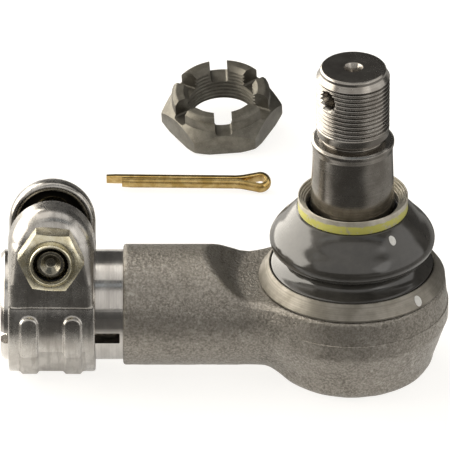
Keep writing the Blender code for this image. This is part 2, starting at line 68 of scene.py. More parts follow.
# Sizes taken over from the part, heights counted from the ball's centre
SHANK_R = 20.0
STEP_X = 75.6
END_X = 116.0
END_R = 18.2
EYE_TOP_Z = 10.8
EYE_BOTTOM_Z = -22.2
SOCKET_R = 23.0
BORE_R = 13.2
BOLT_HEIGHT = 25.0
BALL_HEIGHT = 23.3  # the ball's centre above the cover's face


# ---------------------------------------------------------------- shape helpers
def arc(centre, radius, start, end, count):
    """Points on an arc, both ends included; angles in degrees."""
    angles = np.radians(np.linspace(start, end, count))
    return [(centre[0] + radius * cos(a), centre[1] + radius * sin(a)) for a in angles]


def fillet(points, radius, steps=4, loop=False):
    """The corners of a polyline rounded; a point may carry its own radius as a third number."""
    out = []
    count = len(points)
    for i, point in enumerate(points):
        if not loop and i in (0, count - 1):
            out.append(tuple(point[:2]))
            continue
        here = Vector(point[:2])
        before = Vector(points[i - 1][:2]) - here
        after = Vector(points[(i + 1) % count][:2]) - here
        size = point[2] if len(point) > 2 else radius
        angle = before.angle(after)
        reach = min(size / np.tan(angle / 2), before.length * 0.49, after.length * 0.49)
        if size == 0 or reach < 1e-3 or angle > radians(178):
            out.append(tuple(here))
            continue
        start, end = here + before.normalized() * reach, here + after.normalized() * reach
        for k in range(steps + 1):
            t = k / steps
            bend = start.lerp(here, t).lerp(here.lerp(end, t), t)
            out.append(tuple(bend))
    return out


def spline(points, per_span):
    """A smooth curve through the points, which it keeps."""
    p = np.array([points[0], *points, points[-1]], float)
    out = []
    for a, b, c, d in zip(p, p[1:], p[2:], p[3:]):
        for t in np.linspace(0, 1, per_span, endpoint=False):
            out.append(
                0.5 * (2 * b + (c - a) * t + (2 * a - 5 * b + 4 * c - d) * t * t
                       + (3 * b - a - 3 * c + d) * t ** 3)
            )
    out.append(p[-1])
    return [tuple(q) for q in out]


def hexagon(flats, turn=0.0):
    """Corners of a hexagon by its width across flats."""
    return arc((0, 0), flats / sqrt(3), turn, turn + 300, 6)


def lathe(profile, steps, loop=False, vary=None):
    """Points and faces of a turned solid: (radius, height) runs down the outer side, or round a loop."""
    points, faces, rings = [], [], []
    angles = np.arange(steps) * 2 * pi / steps
    for r, z in profile:
        if r < 1e-6:
            rings.append([len(points)] * steps)
            points.append((0.0, 0.0, z))
            continue
        radius = vary(r, z, angles) if vary else np.full(steps, r)
        rings.append(list(range(len(points), len(points) + steps)))
        points.extend(zip(radius * np.cos(angles), radius * np.sin(angles), np.full(steps, z)))
    if loop:
        rings.append(rings[0])
    for upper, lower in zip(rings, rings[1:]):
        for j in range(steps):
            k = (j + 1) % steps
            face = tuple(dict.fromkeys((upper[j], lower[j], lower[k], upper[k])))
            if len(face) > 2:
                faces.append(face)
    return np.array(points), faces


def prism(outline, low, high):
    """Points and faces of a flat outline, counter-clockwise, made solid between two heights."""
    n = len(outline)
    points = [(x, y, z) for z in (low, high) for x, y in outline]
    faces = [tuple(range(n))[::-1], tuple(range(n, 2 * n))]
    faces += [(i, (i + 1) % n, n + (i + 1) % n, n + i) for i in range(n)]
    return np.array(points, float), faces


def sweep(centres, sides, ups, section, scale=None):
    """Points and faces of a closed section carried along stations, with flat ends."""
    section = np.array(section, float)
    n, m = len(centres), len(section)
    scale = np.ones((n, 2)) if scale is None else scale
    points = (
        centres[:, None, :]
        + scale[:, None, :1] * section[None, :, :1] * sides[:, None, :]
        + scale[:, None, 1:] * section[None, :, 1:] * ups[:, None, :]
    ).reshape(-1, 3)
    faces = [
        (i * m + j, i * m + (j + 1) % m, (i + 1) * m + (j + 1) % m, (i + 1) * m + j)
        for i in range(n - 1) for j in range(m)
    ]
    faces += [tuple(range(m))[::-1], tuple(range((n - 1) * m, n * m))]
    return points, faces


def net(field, low, high, step):
    """Points and faces of the surface on which field is 0, inside a box: one point for each crossed cell."""
    axes = [np.arange(a, b + step, step) for a, b in zip(low, high)]
    shape = tuple(len(a) for a in axes)
    grid = np.stack(np.meshgrid(*axes, indexing="ij"), -1).reshape(-1, 3)
    value = field(grid).reshape(shape)
    inside = value < 0
    total = np.zeros([n - 1 for n in shape] + [3])
    count = np.zeros([n - 1 for n in shape])
    edges = []
    for a in range(3):
        first = [slice(None)] * 3
        second = [slice(None)] * 3
        first[a], second[a] = slice(None, -1), slice(1, None)
        v0, v1 = value[tuple(first)], value[tuple(second)]
        index = np.argwhere((v0 < 0) != (v1 < 0))
        b, c = (a + 1) % 3, (a + 2) % 3
        keep = (index[:, b] > 0) & (index[:, c] > 0)
        keep &= (index[:, b] < shape[b] - 1) & (index[:, c] < shape[c] - 1)
        index = index[keep]
        t = v0[tuple(index.T)] / (v0[tuple(index.T)] - v1[tuple(index.T)])
        crossing = np.array(low) + step * index
        crossing[:, a] += step * t
        cells = []
        for db, dc in ((1, 1), (0, 1), (0, 0), (1, 0)):
            cell = index.copy()
            cell[:, b] -= db
            cell[:, c] -= dc
            np.add.at(total, tuple(cell.T), crossing)
            np.add.at(count, tuple(cell.T), 1)
            cells.append(cell)
        edges.append((cells, inside[tuple(first)][tuple(index.T)]))
    used = count > 0
    number = np.full(used.shape, -1)
    number[used] = np.arange(used.sum())
    points = total[used] / count[used][:, None]
    faces = []
    for cells, outward in edges:
        quad = np.stack([number[tuple(cell.T)] for cell in cells], 1)
        quad[~outward] = quad[~outward][:, ::-1]
        faces.extend(map(tuple, quad.tolist()))

    # the points are now drawn onto the surface, along the field's slope
    rounds, probe, flattest, longest = 3, 0.02, 0.05, 0.4
    for _ in range(rounds):
        here = field(points)
        slope = np.stack([(field(points + probe * e) - here) / probe for e in np.eye(3)], 1)
        size = np.maximum((slope ** 2).sum(1), flattest)
        move = -here[:, None] * slope / size[:, None]
        length = np.maximum(np.linalg.norm(move, axis=1), 1e-9)
        points = points + move * np.minimum(1, longest * step / length)[:, None]
    return points, faces


def smooth_min(a, b, k):
    """The smaller of two distances, with the crease between them filled over a width k."""
    h = np.maximum(k - np.abs(a - b), 0) / k
    return np.minimum(a, b) - h * h * k / 4


def smooth_max(a, b, k):
    return -smooth_min(-a, -b, k)


def rounded_max(a, b, radius):
    """Both at once, like max, with the edge between them rounded."""
    a, b = a + radius, b + radius
    outside = np.hypot(np.maximum(a, 0), np.maximum(b, 0))
    return np.minimum(np.maximum(a, b), 0) + outside - radius


def outline_distance(x, y, outline):
    """Signed distance to a closed outline, negative inside."""
    squared = np.full(x.shape, 1e9)
    inside = np.zeros(x.shape, bool)
    for (ax, ay), (bx, by) in zip(outline, outline[1:] + outline[:1]):
        ex, ey, px, py = bx - ax, by - ay, x - ax, y - ay
        t = np.clip((px * ex + py * ey) / (ex * ex + ey * ey), 0, 1)
        squared = np.minimum(squared, (px - t * ex) ** 2 + (py - t * ey) ** 2)
        if ey:
            crosses = (ay > y) != (by > y)
            inside ^= crosses & (px < py / ey * ex)
    return np.where(inside, -1, 1) * np.sqrt(squared)


def lattice_noise(points, cell, seed):
    """Smooth noise from -1 to 1 with features of about one cell."""
    table = np.random.RandomState(seed).uniform(-1, 1, (32, 32, 32))
    q = points / cell
    base = np.floor(q).astype(int)
    t = q - base
    t = t * t * (3 - 2 * t)
    out = np.zeros(len(points))
    for dx in (0, 1):
        for dy in (0, 1):
            for dz in (0, 1):
                corner = (base + (dx, dy, dz)) % 32
                weight = np.abs(1 - dx - t[:, 0]) * np.abs(1 - dy - t[:, 1]) * np.abs(1 - dz - t[:, 2])
                out += weight * table[corner[:, 0], corner[:, 1], corner[:, 2]]
    return out


def make(name, shape, place=Matrix.Identity(4), sharp=35):
    """An object at the origin with its mesh in metres; place is in millimetres."""
    points, faces = shape
    mesh = bpy.data.meshes.new(name)
    mesh.from_pydata([tuple(p) for p in points], [], faces)
    mesh.transform(Matrix.Scale(MM, 4) @ place)
    mesh.validate()
    mesh.shade_smooth()
    mesh.set_sharp_from_angle(angle=radians(sharp))
    obj = bpy.data.objects.new(name, mesh)
    bpy.context.scene.collection.objects.link(obj)
    return obj


def carve(obj, *others, sharp=35):
    """Cuts or joins solids: each of others is (operation, object), and the objects are used up."""
    for operation, other in others:
        modifier = obj.modifiers.new("carve", "BOOLEAN")
        modifier.operation = operation
        modifier.solver = "MANIFOLD"
        modifier.object = other
    bpy.context.view_layer.update()
    mesh = bpy.data.meshes.new_from_object(obj.evaluated_get(bpy.context.evaluated_depsgraph_get()))
    if not mesh.polygons:
        raise ValueError(obj.name + " came out empty")
    obj.modifiers.clear()
    obj.data = mesh
    mesh.name = obj.name
    mesh.shade_smooth()
    mesh.set_sharp_from_angle(angle=radians(sharp))
    for _, other in others:
        bpy.data.objects.remove(other, do_unlink=True)
    return obj


def thread_rows(low, high, per_mm=10):
    """Heights at which a thread is drawn, from the top down."""
    return list(np.linspace(high, low, int((high - low) * per_mm) + 1))


def thread_depth(z, angle, pitch, depth):
    """How far a thread's surface lies below its crest."""
    return depth * (0.5 - 0.5 * np.cos(2 * pi * z / pitch + angle))


# ---------------------------------------------------------------- material helpers
class Tree:
    """A material under construction; positions are in millimetres of the piece's own frame."""

    def __init__(self, name):
        self.material = bpy.data.materials.new(name)
        self.material.use_nodes = True
        self.nodes = self.material.node_tree.nodes
        self.nodes.clear()
        self.where = self.add("VectorMath", {"operation": "SCALE"},
                              Vector=self.add("TexCoord").outputs["Object"], Scale=1000.0).outputs[0]

    def add(self, kind, settings=None, **inputs):
        """A node with settings; an input that is a socket is linked, any other is set."""
        node = self.nodes.new("ShaderNode" + kind)
        for key, value in (settings or {}).items():
            setattr(node, key, value)
        for key, value in inputs.items():
            self.put(node, key.replace("_", " "), value)
        return node

    def put(self, node, key, value):
        """Fills one input, named by its label or as i and its number."""
        socket = node.inputs[int(key[1:]) if key[0] == "i" and key[1:].isdigit() else key]
        if isinstance(value, bpy.types.NodeSocket):
            self.material.node_tree.links.new(value, socket)
        else:
            if socket.type == "RGBA" and len(value) == 3:
                value = (*value, 1.0)
            socket.default_value = value

    def math(self, operation, a, b=0.0):
        return self.add("Math", {"operation": operation}, i0=a, i1=b).outputs[0]

    def noise(self, size, detail=3.0, rough=0.55, stretch=(1, 1, 1), warp=0.0):
        """Noise with features of about size; a stretch below 1 draws them out along that axis."""
        where = self.add("VectorMath", {"operation": "MULTIPLY"}, i0=self.where, i1=stretch).outputs[0]
        node = self.add("TexNoise", Vector=where, Scale=1 / size, Detail=detail, Roughness=rough,
                        Distortion=warp)
        return node.outputs["Fac"]

    def speckle(self, size):
        return self.add("TexVoronoi", Vector=self.where, Scale=1 / size).outputs["Distance"]

    def ramp(self, value, low, high, out_low=0.0, out_high=1.0):
        node = self.add("MapRange", {"interpolation_type": "SMOOTHSTEP"}, Value=value,
                        From_Min=low, From_Max=high, To_Min=out_low, To_Max=out_high)
        return node.outputs[0]

    def mix(self, share, a, b):
        """Colour a at share 0, colour b at share 1."""
        return self.add("Mix", {"data_type": "RGBA"}, i0=share, i6=a, i7=b).outputs[2]

    def axes(self):
        node = self.add("SeparateXYZ", Vector=self.where)
        return node.outputs[0], node.outputs[1], node.outputs[2]

    def bump(self, height, distance, strength=1.0):
        return self.add("Bump", Height=height, Distance=distance * MM, Strength=strength).outputs[0]

    def surface(self, colour, metallic, roughness, normal=None, **more):
        extra = {} if normal is None else {"Normal": normal}
        return self.add("BsdfPrincipled", Base_Color=colour, Metallic=metallic, Roughness=roughness,
                        **extra, **more).outputs[0]

    def done(self, shader):
        self.add("OutputMaterial", Surface=shader)
        return self.material


def radius_from(t, centre):
    """Distance from a vertical line through centre."""
    x, y, _ = t.axes()
    dx = t.math("SUBTRACT", x, centre[0])
    dy = t.math("SUBTRACT", y, centre[1])
    return t.math("SQRT", t.math("ADD", t.math("MULTIPLY", dx, dx), t.math("MULTIPLY", dy, dy)))


def shades(colour, *factors):
    """The same colour, once for each factor, and never brighter than 1."""
    return [tuple(min(1.0, factor * c) for c in colour) for factor in factors]


def forged_steel():
    """Shot-blasted forging skin, and bright turned steel past the shank's step and inside the eye."""
    t = Tree("forged_steel")
    grain = t.noise(0.75, 5, 0.7)
    pits = t.speckle(1.2)
    patches = t.noise(5.0, 4, 0.6)
    broad = t.noise(22.0, 3, 0.5)
    colour = t.mix(t.ramp(patches, 0.3, 0.7), (0.150, 0.136, 0.114), (0.245, 0.226, 0.196))
    colour = t.mix(t.ramp(broad, 0.35, 0.65, 0.0, 0.35), colour, (0.30, 0.272, 0.240))
    colour = t.mix(t.ramp(grain, 0.36, 0.66, 0.0, 0.8), colour, (0.44, 0.41, 0.365))
    rub = t.math("MULTIPLY", t.ramp(t.noise(1.6, 5, 0.7), 0.52, 0.66), t.ramp(broad, 0.45, 0.65))
    colour = t.mix(t.math("MULTIPLY", rub, 0.6), colour, (0.62, 0.59, 0.54))
    height = t.math("ADD", t.math("MULTIPLY", grain, 0.8), t.math("MULTIPLY", pits, 0.3))
    forged = t.surface(colour, 0.85, t.ramp(grain, 0.3, 0.7, 0.46, 0.30), t.bump(height, 0.30, 1.0))

    rings = t.noise(0.5, 2, 0.5, stretch=(1.0, 0.004, 0.004))
    smear = t.noise(6.0, 3, 0.6, stretch=(1.0, 0.4, 0.4))
    bright = t.mix(t.ramp(smear, 0.35, 0.7), (0.52, 0.495, 0.465), (0.66, 0.635, 0.60))
    bright = t.mix(t.ramp(rings, 0.4, 0.7, 0.0, 0.3), bright, (0.42, 0.40, 0.375))
    rough = t.math("ADD", t.ramp(rings, 0.3, 0.7, 0.16, 0.24), t.ramp(smear, 0.5, 0.75, 0.0, 0.08))
    machined = t.surface(bright, 1.0, rough, t.bump(rings, 0.02, 0.4))

    past_step = t.ramp(t.axes()[0], -STEP_X - 0.12, -STEP_X - 0.02, 1.0, 0.0)
    inside_eye = t.math("LESS_THAN", radius_from(t, (0.0, 0.0)), SOCKET_R - 0.05)
    share = t.math("MAXIMUM", past_step, inside_eye)
    return t.done(t.add("MixShader", i0=share, i1=forged, i2=machined).outputs[0])


def turned_steel(name, dark, light, rough, grain=0.3, bump=0.03):
    """Steel turned about a vertical axis: fine rings, a few stains."""
    t = Tree(name)
    rings = t.noise(0.35, 2, 0.5, stretch=(0.004, 0.004, 1.0))
    stains = t.noise(6.0, 3, 0.6)
    fine = t.noise(0.5, 4, 0.6)
    colour = t.mix(t.ramp(stains, 0.3, 0.7), dark, light)
    colour = t.mix(t.ramp(rings, 0.35, 0.7, 0.0, 0.35), colour, *shades(dark, 0.7))
    roughness = t.math("ADD", t.ramp(rings, 0.3, 0.7, rough - 0.04, rough + 0.05),
                       t.ramp(fine, 0.45, 0.75, 0.0, 0.3 * grain))
    normal = t.bump(t.math("ADD", rings, t.math("MULTIPLY", fine, grain)), bump, 0.6)
    return t.done(t.surface(colour, 1.0, roughness, normal))


def rubber(name, colour, rough):
    """Smooth rubber with a little dust on it."""
    t = Tree(name)
    cloud = t.noise(7.0, 4, 0.6)
    fine = t.noise(0.4, 4, 0.6)
    dust = t.ramp(t.noise(2.5, 5, 0.7), 0.55, 0.8, 0.0, 0.3)
    base = t.mix(t.ramp(cloud, 0.3, 0.7), *shades(colour, 0.8, 1.25))
    base = t.mix(dust, base, *shades(colour, 2.2))
    roughness = t.math("ADD", t.ramp(cloud, 0.3, 0.7, rough - 0.04, rough + 0.05),
                       t.math("MULTIPLY", dust, 0.15))
    return t.done(t.surface(base, 0.0, roughness, t.bump(fine, 0.015, 0.3), IOR=1.65))


def along_axis(t, place, axis):
    """Position along one axis of a placed frame."""
    way = place.to_3x3().col[axis]
    node = t.add("VectorMath", {"operation": "DOT_PRODUCT"}, i0=t.where, i1=tuple(way))
    return t.math("SUBTRACT", node.outputs["Value"], place.translation.dot(way))


# how far the painted shade inside the ears' hollow reaches: the arch's half width, and the distance out from
# the clamp's middle
HOLLOW_SHADE_HALF = 10.9
HOLLOW_SHADE_REACH = 18.6


def pressed_steel():
    """Drawn sheet, unpolished, with painted shade: near black inside the hollow of its ears."""
    t = Tree("pressed_steel")
    cloud = t.noise(9.0, 4, 0.6)
    fine = t.noise(0.45, 5, 0.65)
    drawn = t.noise(1.4, 3, 0.6, stretch=(1.0, 0.16, 0.16))
    colour = t.mix(t.ramp(cloud, 0.3, 0.7), (0.38, 0.36, 0.335), (0.56, 0.54, 0.51))
    colour = t.mix(t.ramp(drawn, 0.45, 0.7, 0.0, 0.45), colour, (0.26, 0.245, 0.22))
    colour = t.mix(t.ramp(fine, 0.5, 0.72, 0.0, 0.15), colour, (0.62, 0.60, 0.57))
    across, outward, up = (along_axis(t, CLAMP, axis) for axis in range(3))
    above = t.math("MAXIMUM", t.math("SUBTRACT", up, BOLT_HEIGHT), 0.0)
    arch = t.math("SQRT", t.math("ADD", t.math("POWER", across, 2.0), t.math("POWER", above, 2.0)))
    # mask of the painted shade inside the ears' hollow
    between = t.math("LESS_THAN", t.math("ABSOLUTE", outward), HOLLOW_SHADE_REACH)
    hollow = t.math("MULTIPLY", t.ramp(arch, HOLLOW_SHADE_HALF, HOLLOW_SHADE_HALF + 0.3, 1.0, 0.0), between)
    # painted shade: inside the ears' hollow, above the band, the steel's colour is taken to near black to stand
    # for the shade there
    colour = t.mix(t.math("MULTIPLY", hollow, t.ramp(up, 8.0, 12.0)), colour, (0.045, 0.042, 0.036))
    rough = t.math("ADD", t.ramp(cloud, 0.3, 0.7, 0.20, 0.28), t.ramp(fine, 0.4, 0.7, 0.0, 0.05))
    rough = t.math("ADD", rough, t.math("MULTIPLY", hollow, 0.3))
    height = t.math("ADD", t.math("MULTIPLY", fine, 0.12), t.math("MULTIPLY", drawn, 0.6))
    return t.done(t.surface(colour, 1.0, rough, t.bump(height, 0.05, 0.5)))


def plated(name, low, high, tint, rough, grain=0.03):
    """Chromated zinc: a bright metal whose tint drifts."""
    t = Tree(name)
    drift = t.noise(3.0, 3, 0.6, warp=0.6)
    fine = t.noise(0.35, 4, 0.6)
    colour = t.mix(t.ramp(drift, 0.3, 0.7), low, high)
    colour = t.mix(t.ramp(t.noise(1.2, 4, 0.7), 0.52, 0.72, 0.0, 0.5), colour, tint)
    roughness = t.ramp(fine, 0.3, 0.7, rough - 0.05, rough + 0.08)
    return t.done(t.surface(colour, 1.0, roughness, t.bump(fine, grain, 0.6)))


def phosphated():
    """Black phosphate, rubbed lighter in fine specks."""
    t = Tree("phosphated_steel")
    fine = t.noise(0.35, 5, 0.7)
    cloud = t.noise(4.0, 4, 0.6)
    colour = t.mix(t.ramp(cloud, 0.3, 0.7), (0.105, 0.097, 0.080), (0.165, 0.155, 0.130))
    colour = t.mix(t.ramp(fine, 0.5, 0.75, 0.0, 0.5), colour, (0.30, 0.28, 0.24))
    return t.done(t.surface(colour, 0.85, t.ramp(fine, 0.3, 0.7, 0.36, 0.52), t.bump(fine, 0.06, 0.7)))


def moulded(name, colour, rough):
    """Plain moulded plastic."""
    t = Tree(name)
    cloud = t.noise(5.0, 3, 0.6)
    fine = t.noise(0.3, 3, 0.6)
    base = t.mix(t.ramp(cloud, 0.3, 0.7), *shades(colour, 0.85, 1.12))
    roughness = t.ramp(fine, 0.3, 0.7, rough - 0.06, rough + 0.08)
    return t.done(t.surface(base, 0.0, roughness, t.bump(fine, 0.03, 0.5)))


COIL_INNER, COIL_OUTER, COIL_BOTTOM, COIL_HEIGHT = 14.95, 18.5, 37.2, 5.0
COIL_PAINT_Z = BALL_HEIGHT + 40.6


def coil_finish():
    """Beige spring strip with a patchy yellow-green marking round the lower half of its outer face."""
    t = Tree("coil_steel")
    _, _, z = t.axes()
    normal = t.add("SeparateXYZ", Vector=t.add("TexCoord").outputs["Normal"])
    upright = t.math("LESS_THAN", t.math("ABSOLUTE", normal.outputs[2]), 0.6)
    outer = t.math("MULTIPLY", upright, t.math("GREATER_THAN", radius_from(t, (0.0, 0.0)), COIL_OUTER - 0.95))
    fine = t.noise(0.5, 4, 0.6)
    drift = t.noise(3.0, 3, 0.6)
    metal = t.mix(t.ramp(drift, 0.3, 0.7), (0.58, 0.54, 0.45), (0.74, 0.70, 0.61))
    edge = t.math("ADD", z, t.math("MULTIPLY", t.noise(2.0, 3, 0.6), 1.6))
    low = t.ramp(edge, COIL_PAINT_Z, COIL_PAINT_Z + 0.5, 1.0, 0.0)
    patch = t.math("MULTIPLY", low, t.ramp(t.noise(2.2, 4, 0.7), 0.34, 0.46, 0.25, 1.0))
    share = t.math("MULTIPLY", outer, patch)
    colour = t.mix(share, metal, (0.66, 0.63, 0.16))
    metallic = t.math("SUBTRACT", 0.55, t.math("MULTIPLY", share, 0.5))
    return t.done(t.surface(colour, metallic, t.ramp(fine, 0.3, 0.7, 0.28, 0.42), t.bump(fine, 0.03, 0.4)))


def matt_coat(name, colour):
    """A matt surface."""
    t = Tree(name)
    fine = t.noise(0.8, 4, 0.6)
    base = t.mix(t.ramp(fine, 0.35, 0.7), colour, *shades(colour, 0.86))
    return t.done(t.surface(base, 0.0, t.ramp(fine, 0.3, 0.7, 0.4, 0.55), t.bump(fine, 0.05, 0.6)))


def dress(obj, material, body=None, replaces=()):
    """Gives a piece its material, its body and the CAD nodes it stands for."""
    obj.data.materials.clear()
    obj.data.materials.append(material)
    if body:
        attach(obj, body)
    if replaces:
        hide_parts(*replaces)
    return obj


# ---------------------------------------------------------------- housing
EYE_OUTLINE = (
    [(0, 14.5), (30.5, 14.5), (31.7, 3.0), (31.7, -3.4)]
    + arc((21.5, -16.4), 5.8, 0, -90, 9)
    + [(0, EYE_BOTTOM_Z)]
)
POCKET_OUTLINE = [
    (-5, 34), (60, 34), (47.6, 20), (43.0, 14.2), (40.2, 11.7), (38.0, EYE_TOP_Z), (-5, EYE_TOP_Z),
]


def forging(p):
    """Signed distance to the rough forging: the eye and the shank, blended, with the pocket above the eye."""
    x, y, z = p.T
    radius = np.hypot(x, y)
    eye = outline_distance(radius, z, EYE_OUTLINE)
    shank = rounded_max(np.hypot(y, z) - SHANK_R, np.abs(x + STEP_X / 2) - STEP_X / 2, 1.0)
    body = smooth_min(eye, shank, np.interp(z, (-14, 6), (5.0, 11.0)))
    body = smooth_max(body, -outline_distance(radius, z, POCKET_OUTLINE), 1.6)
    rough = 0.10 * lattice_noise(p, 5.0, 3) + 0.05 * lattice_noise(p, 2.0, 4)
    return body + rough * np.clip((EYE_TOP_Z - 0.3 - z) / 2, 0, 1)


def build_housing():
    body = make("housing_forging", net(forging, (-77.5, -33.5, -23.8), (33.5, 33.5, 21.8), 0.8), BALL)
    chamfer = 1.2
    end_rows = [(0, END_X), (END_R - chamfer, END_X, 0.4), (END_R, END_X - chamfer, 0.4)]
    end = lathe(fillet(end_rows + [(END_R, STEP_X - 1.0), (0, STEP_X - 1.0)], 0), 96)
    belt_rows = [(29.0, 2.6), (31.55, 2.6), (31.95, 2.3), (31.95, -2.7), (31.6, -3.1), (29.0, -3.1)]
    belt = lathe(belt_rows, 144, loop=True)
    socket = lathe(
        [(0, 16), (18.3, 16), (18.3, EYE_TOP_Z), (17.3, 9.8), (17.3, 8.5), (21.3, 8.5), (21.3, -16.2)]
        + [(SOCKET_R, -16.2), (SOCKET_R, -20.9), (21.2, -20.9), (21.2, -26), (0, -26)], 96,
    )

    thread_low, thread_high, pitch, depth = 66.0, END_X - 1.6, 2.0, 0.9
    bore_rows = [(0, END_X + 3), (17.4, END_X + 3), (13.6, END_X - 0.8)]
    bore_rows += [(BORE_R, z) for z in thread_rows(thread_low, thread_high, 5)]
    bore_rows += [(BORE_R, 64.0), (0, 57.0)]

    def vary(r, z, a):
        if thread_low < z < thread_high - 0.1 and r < 14:
            return r + (depth - thread_depth(z, a, pitch, depth))
        return np.full(len(a), r)

    bore = lathe(bore_rows, 64, vary=vary)
    slot_half, slot_end_x, slot_turn = 2.1, -76.7, 8
    slot_outline = [(-slot_half, 0), (slot_half, 0), (slot_half, 60), (-slot_half, 60)]
    slot = prism(fillet(slot_outline, 0.5, loop=True), -30, 30)
    slot_place = BALL @ Matrix.Rotation(radians(slot_turn), 4, "X") @ Matrix(
        ((0, -1, 0, slot_end_x), (0, 0, -1, 0), (1, 0, 0, 0), (0, 0, 0, 1))
    )
    carve(
        body,
        ("UNION", make("end", end, SHANK)),
        ("UNION", make("belt", belt, BALL)),
        ("DIFFERENCE", make("socket", socket, BALL)),
        ("DIFFERENCE", make("bore", bore, SHANK)),
        ("DIFFERENCE", make("slot", slot, slot_place)),
        sharp=32,
    )
    dress(body, forged_steel(), "housing", ["housing"])


# ---------------------------------------------------------------- stud
def build_stud():
    top, crest = 90.3, 12.05
    thread_low, thread_high = 68.6, 87.0
    rows = [(0, top - 6.0), (1.6, top - 5.2), (1.6, top - 2.7)]
    rows += fillet([(1.6, top - 2.7), (3.15, top, 0.15), (10.4, top, 0.25), (10.9, top - 0.6, 0.3)]
                   + [(10.95, top - 1.5), (crest, thread_high)], 0.2)[1:]
    rows += [(crest, z) for z in thread_rows(thread_low, thread_high)][1:]
    rows += fillet([(crest - 0.1, 68.3), (crest - 0.1, 66.1, 0.3), (10.3, 65.2, 0.4), (10.3, 64.1, 0.3)]
                   + [(12.9, 63.7, 0.2), (13.65, 63.1, 0.3), (13.65, 62.1, 0.5), (13.2, 60.2, 1.5)]
                   + [(13.22, 57.5, 3.0), (14.0, 35.0, 0.5), (13.4, 34.0, 0.4)]
                   + [(12.1, 31.5, 1.5), (10.8, 28.5, 2), (10.5, 25.0, 2), (10.5, 15.23)], 0.3)
    rows += arc((0, 0), 18.5, 55.4, -65.2, 25)[1:] + [(0, -16.8)]

    def vary(r, z, a):
        if thread_low <= z < thread_high and abs(r - crest) < 0.01:
            fade = min(1.0, (z - thread_low) / 1.0, (thread_high - z) / 0.3)
            return r - fade * thread_depth(z, a, 1.5, 0.8)
        return np.full(len(a), r)

    stud = make("ball_stud_turned", lathe(rows, 96, vary=vary), BALL, sharp=40)
    hole_height, hole_turn = 82, -47
    hole = lathe([(0, 15), (5.93, 15), (2.9, 10.6), (2.9, -10.6), (5.93, -15), (0, -15)], 40)
    place = BALL @ Matrix.Translation((0, 0, hole_height)) @ Matrix.Rotation(radians(hole_turn), 4, "Z")
    carve(stud, ("DIFFERENCE", make("hole", hole, place @ Matrix.Rotation(pi / 2, 4, "X"))), sharp=40)
    steel = turned_steel("stud_steel", (0.27, 0.25, 0.225), (0.40, 0.38, 0.35), 0.22, grain=0.1, bump=0.012)
    dress(stud, steel, "stud", ["ball_stud"])


# ---------------------------------------------------------------- boot
BOOT_OUTSIDE = [
    (18.6, 36.95), (20.1, 35.6), (21.6, 34.0), (23.3, 32.0), (25.6, 29.5), (26.95, 27.4), (27.25, 25.8),
    (26.7, 23.9), (25.1, 22.3), (23.4, 21.1), (22.8, 19.9), (23.1, 18.8), (24.6, 17.5), (26.3, 16.6),
]
BOOT_INSIDE = [
    (25.8, 11.4), (25.8, 13.4), (24.4, 14.6), (22.8, 15.8), (21.1, 17.8), (20.7, 19.9), (21.4, 21.8),
    (23.6, 23.6), (25.1, 25.0), (25.2, 26.2), (23.9, 28.6), (21.6, 31.0), (20.0, 33.0), (18.7, 34.3),
    (17.2, 34.9),
]
BOOT_BLEND = {
    "start": (0, 0, (BALL_HEIGHT + 16.6) * MM),
    "end": (0, 0, (BALL_HEIGHT + 32.4) * MM),
}


def boot_profile():
    """The boot's section: neck lip, outer wall, foot, inner wall, and the neck's inside."""
    lip = fillet([(15.1, 36.4), (15.1, 36.95), (18.6, 36.95)], 0.15)
    outside = spline(BOOT_OUTSIDE, 5)
    foot = fillet([(26.3, 16.6), (26.75, 16.3), (26.75, 14.6), (27.9, 13.9), (27.9, 11.4), (25.8, 11.4)], 0.25)
    inside = spline(BOOT_INSIDE, 4)
    neck = fillet([(17.2, 34.9), (17.2, 32.6), (16.4, 32.6), (16.4, 36.2), (15.1, 36.4)], 0.15)
    return lip[:-1] + outside[:-1] + foot[:-1] + inside[:-1] + neck[:-1]


def white_dot(name, material, profile, angle, along, across, body=None, blend=None):
    """A small white dot that lies on a turned surface; profile is the surface as (radius, height) points."""
    proud, sunk, corners = 0.10, 0.25, 40
    normals = [Vector((b[1] - a[1], a[0] - b[0])).normalized() * -1 for a, b in zip(profile, profile[1:])]
    stations = list(zip(profile, normals + normals[-1:]))
    shell = [tuple(Vector(p) + proud * n) for p, n in stations]
    back = [tuple(Vector(p) - sunk * n) for p, n in stations]
    patch = make(name, lathe(shell + back[::-1], 240, loop=True), BALL)
    outline = []
    for k in range(corners):
        a = 2 * pi * k / corners
        swell = 1 + 0.03 * sin(2 * a + 1) + 0.03 * sin(3 * a + 2)
        outline.append((across * swell * cos(a), along * swell * sin(a)))
    middle, n = (values[len(profile) // 2] for values in (profile, normals))
    aim = BALL @ Matrix.Rotation(radians(angle), 4, "Z") @ Matrix.Translation((middle[0], 0, middle[1]))
    aim = aim @ Matrix.Rotation(pi / 2 - atan2(n.y, n.x), 4, "Y") @ Matrix.Rotation(pi / 2, 4, "Z")
    carve(patch, ("INTERSECT", make("dot_cutter", prism(outline, -3, 3), aim)))
    dress(patch, material, body)
    if blend:
        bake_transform(patch)


def build_boot():
    profile = [(float(r), float(z)) for r, z in boot_profile()]
    boot = make("dust_boot_rubber", lathe(profile, 120, loop=True), BALL, sharp=60)
    dress(boot, rubber("boot_rubber", (0.044, 0.041, 0.036), 0.14), replaces=["dust_boot"])
    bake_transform(boot)

    outer_face = [(27.0, 16.3), (27.6, 16.3), (30.8, 11.7), (30.8, 11.1)]
    inner_face = [(28.3, 11.1), (28.3, 14.2), (27.0, 14.8)]
    ring_outline = fillet(outer_face + inner_face, 0.35, loop=True)
    ring = make("boot_base_ring_turned", lathe(ring_outline, 144, loop=True), BALL)
    steel = turned_steel("ring_steel", (0.20, 0.185, 0.155), (0.30, 0.28, 0.245), 0.46)
    dress(ring, steel, "housing", ["boot_base_ring"])


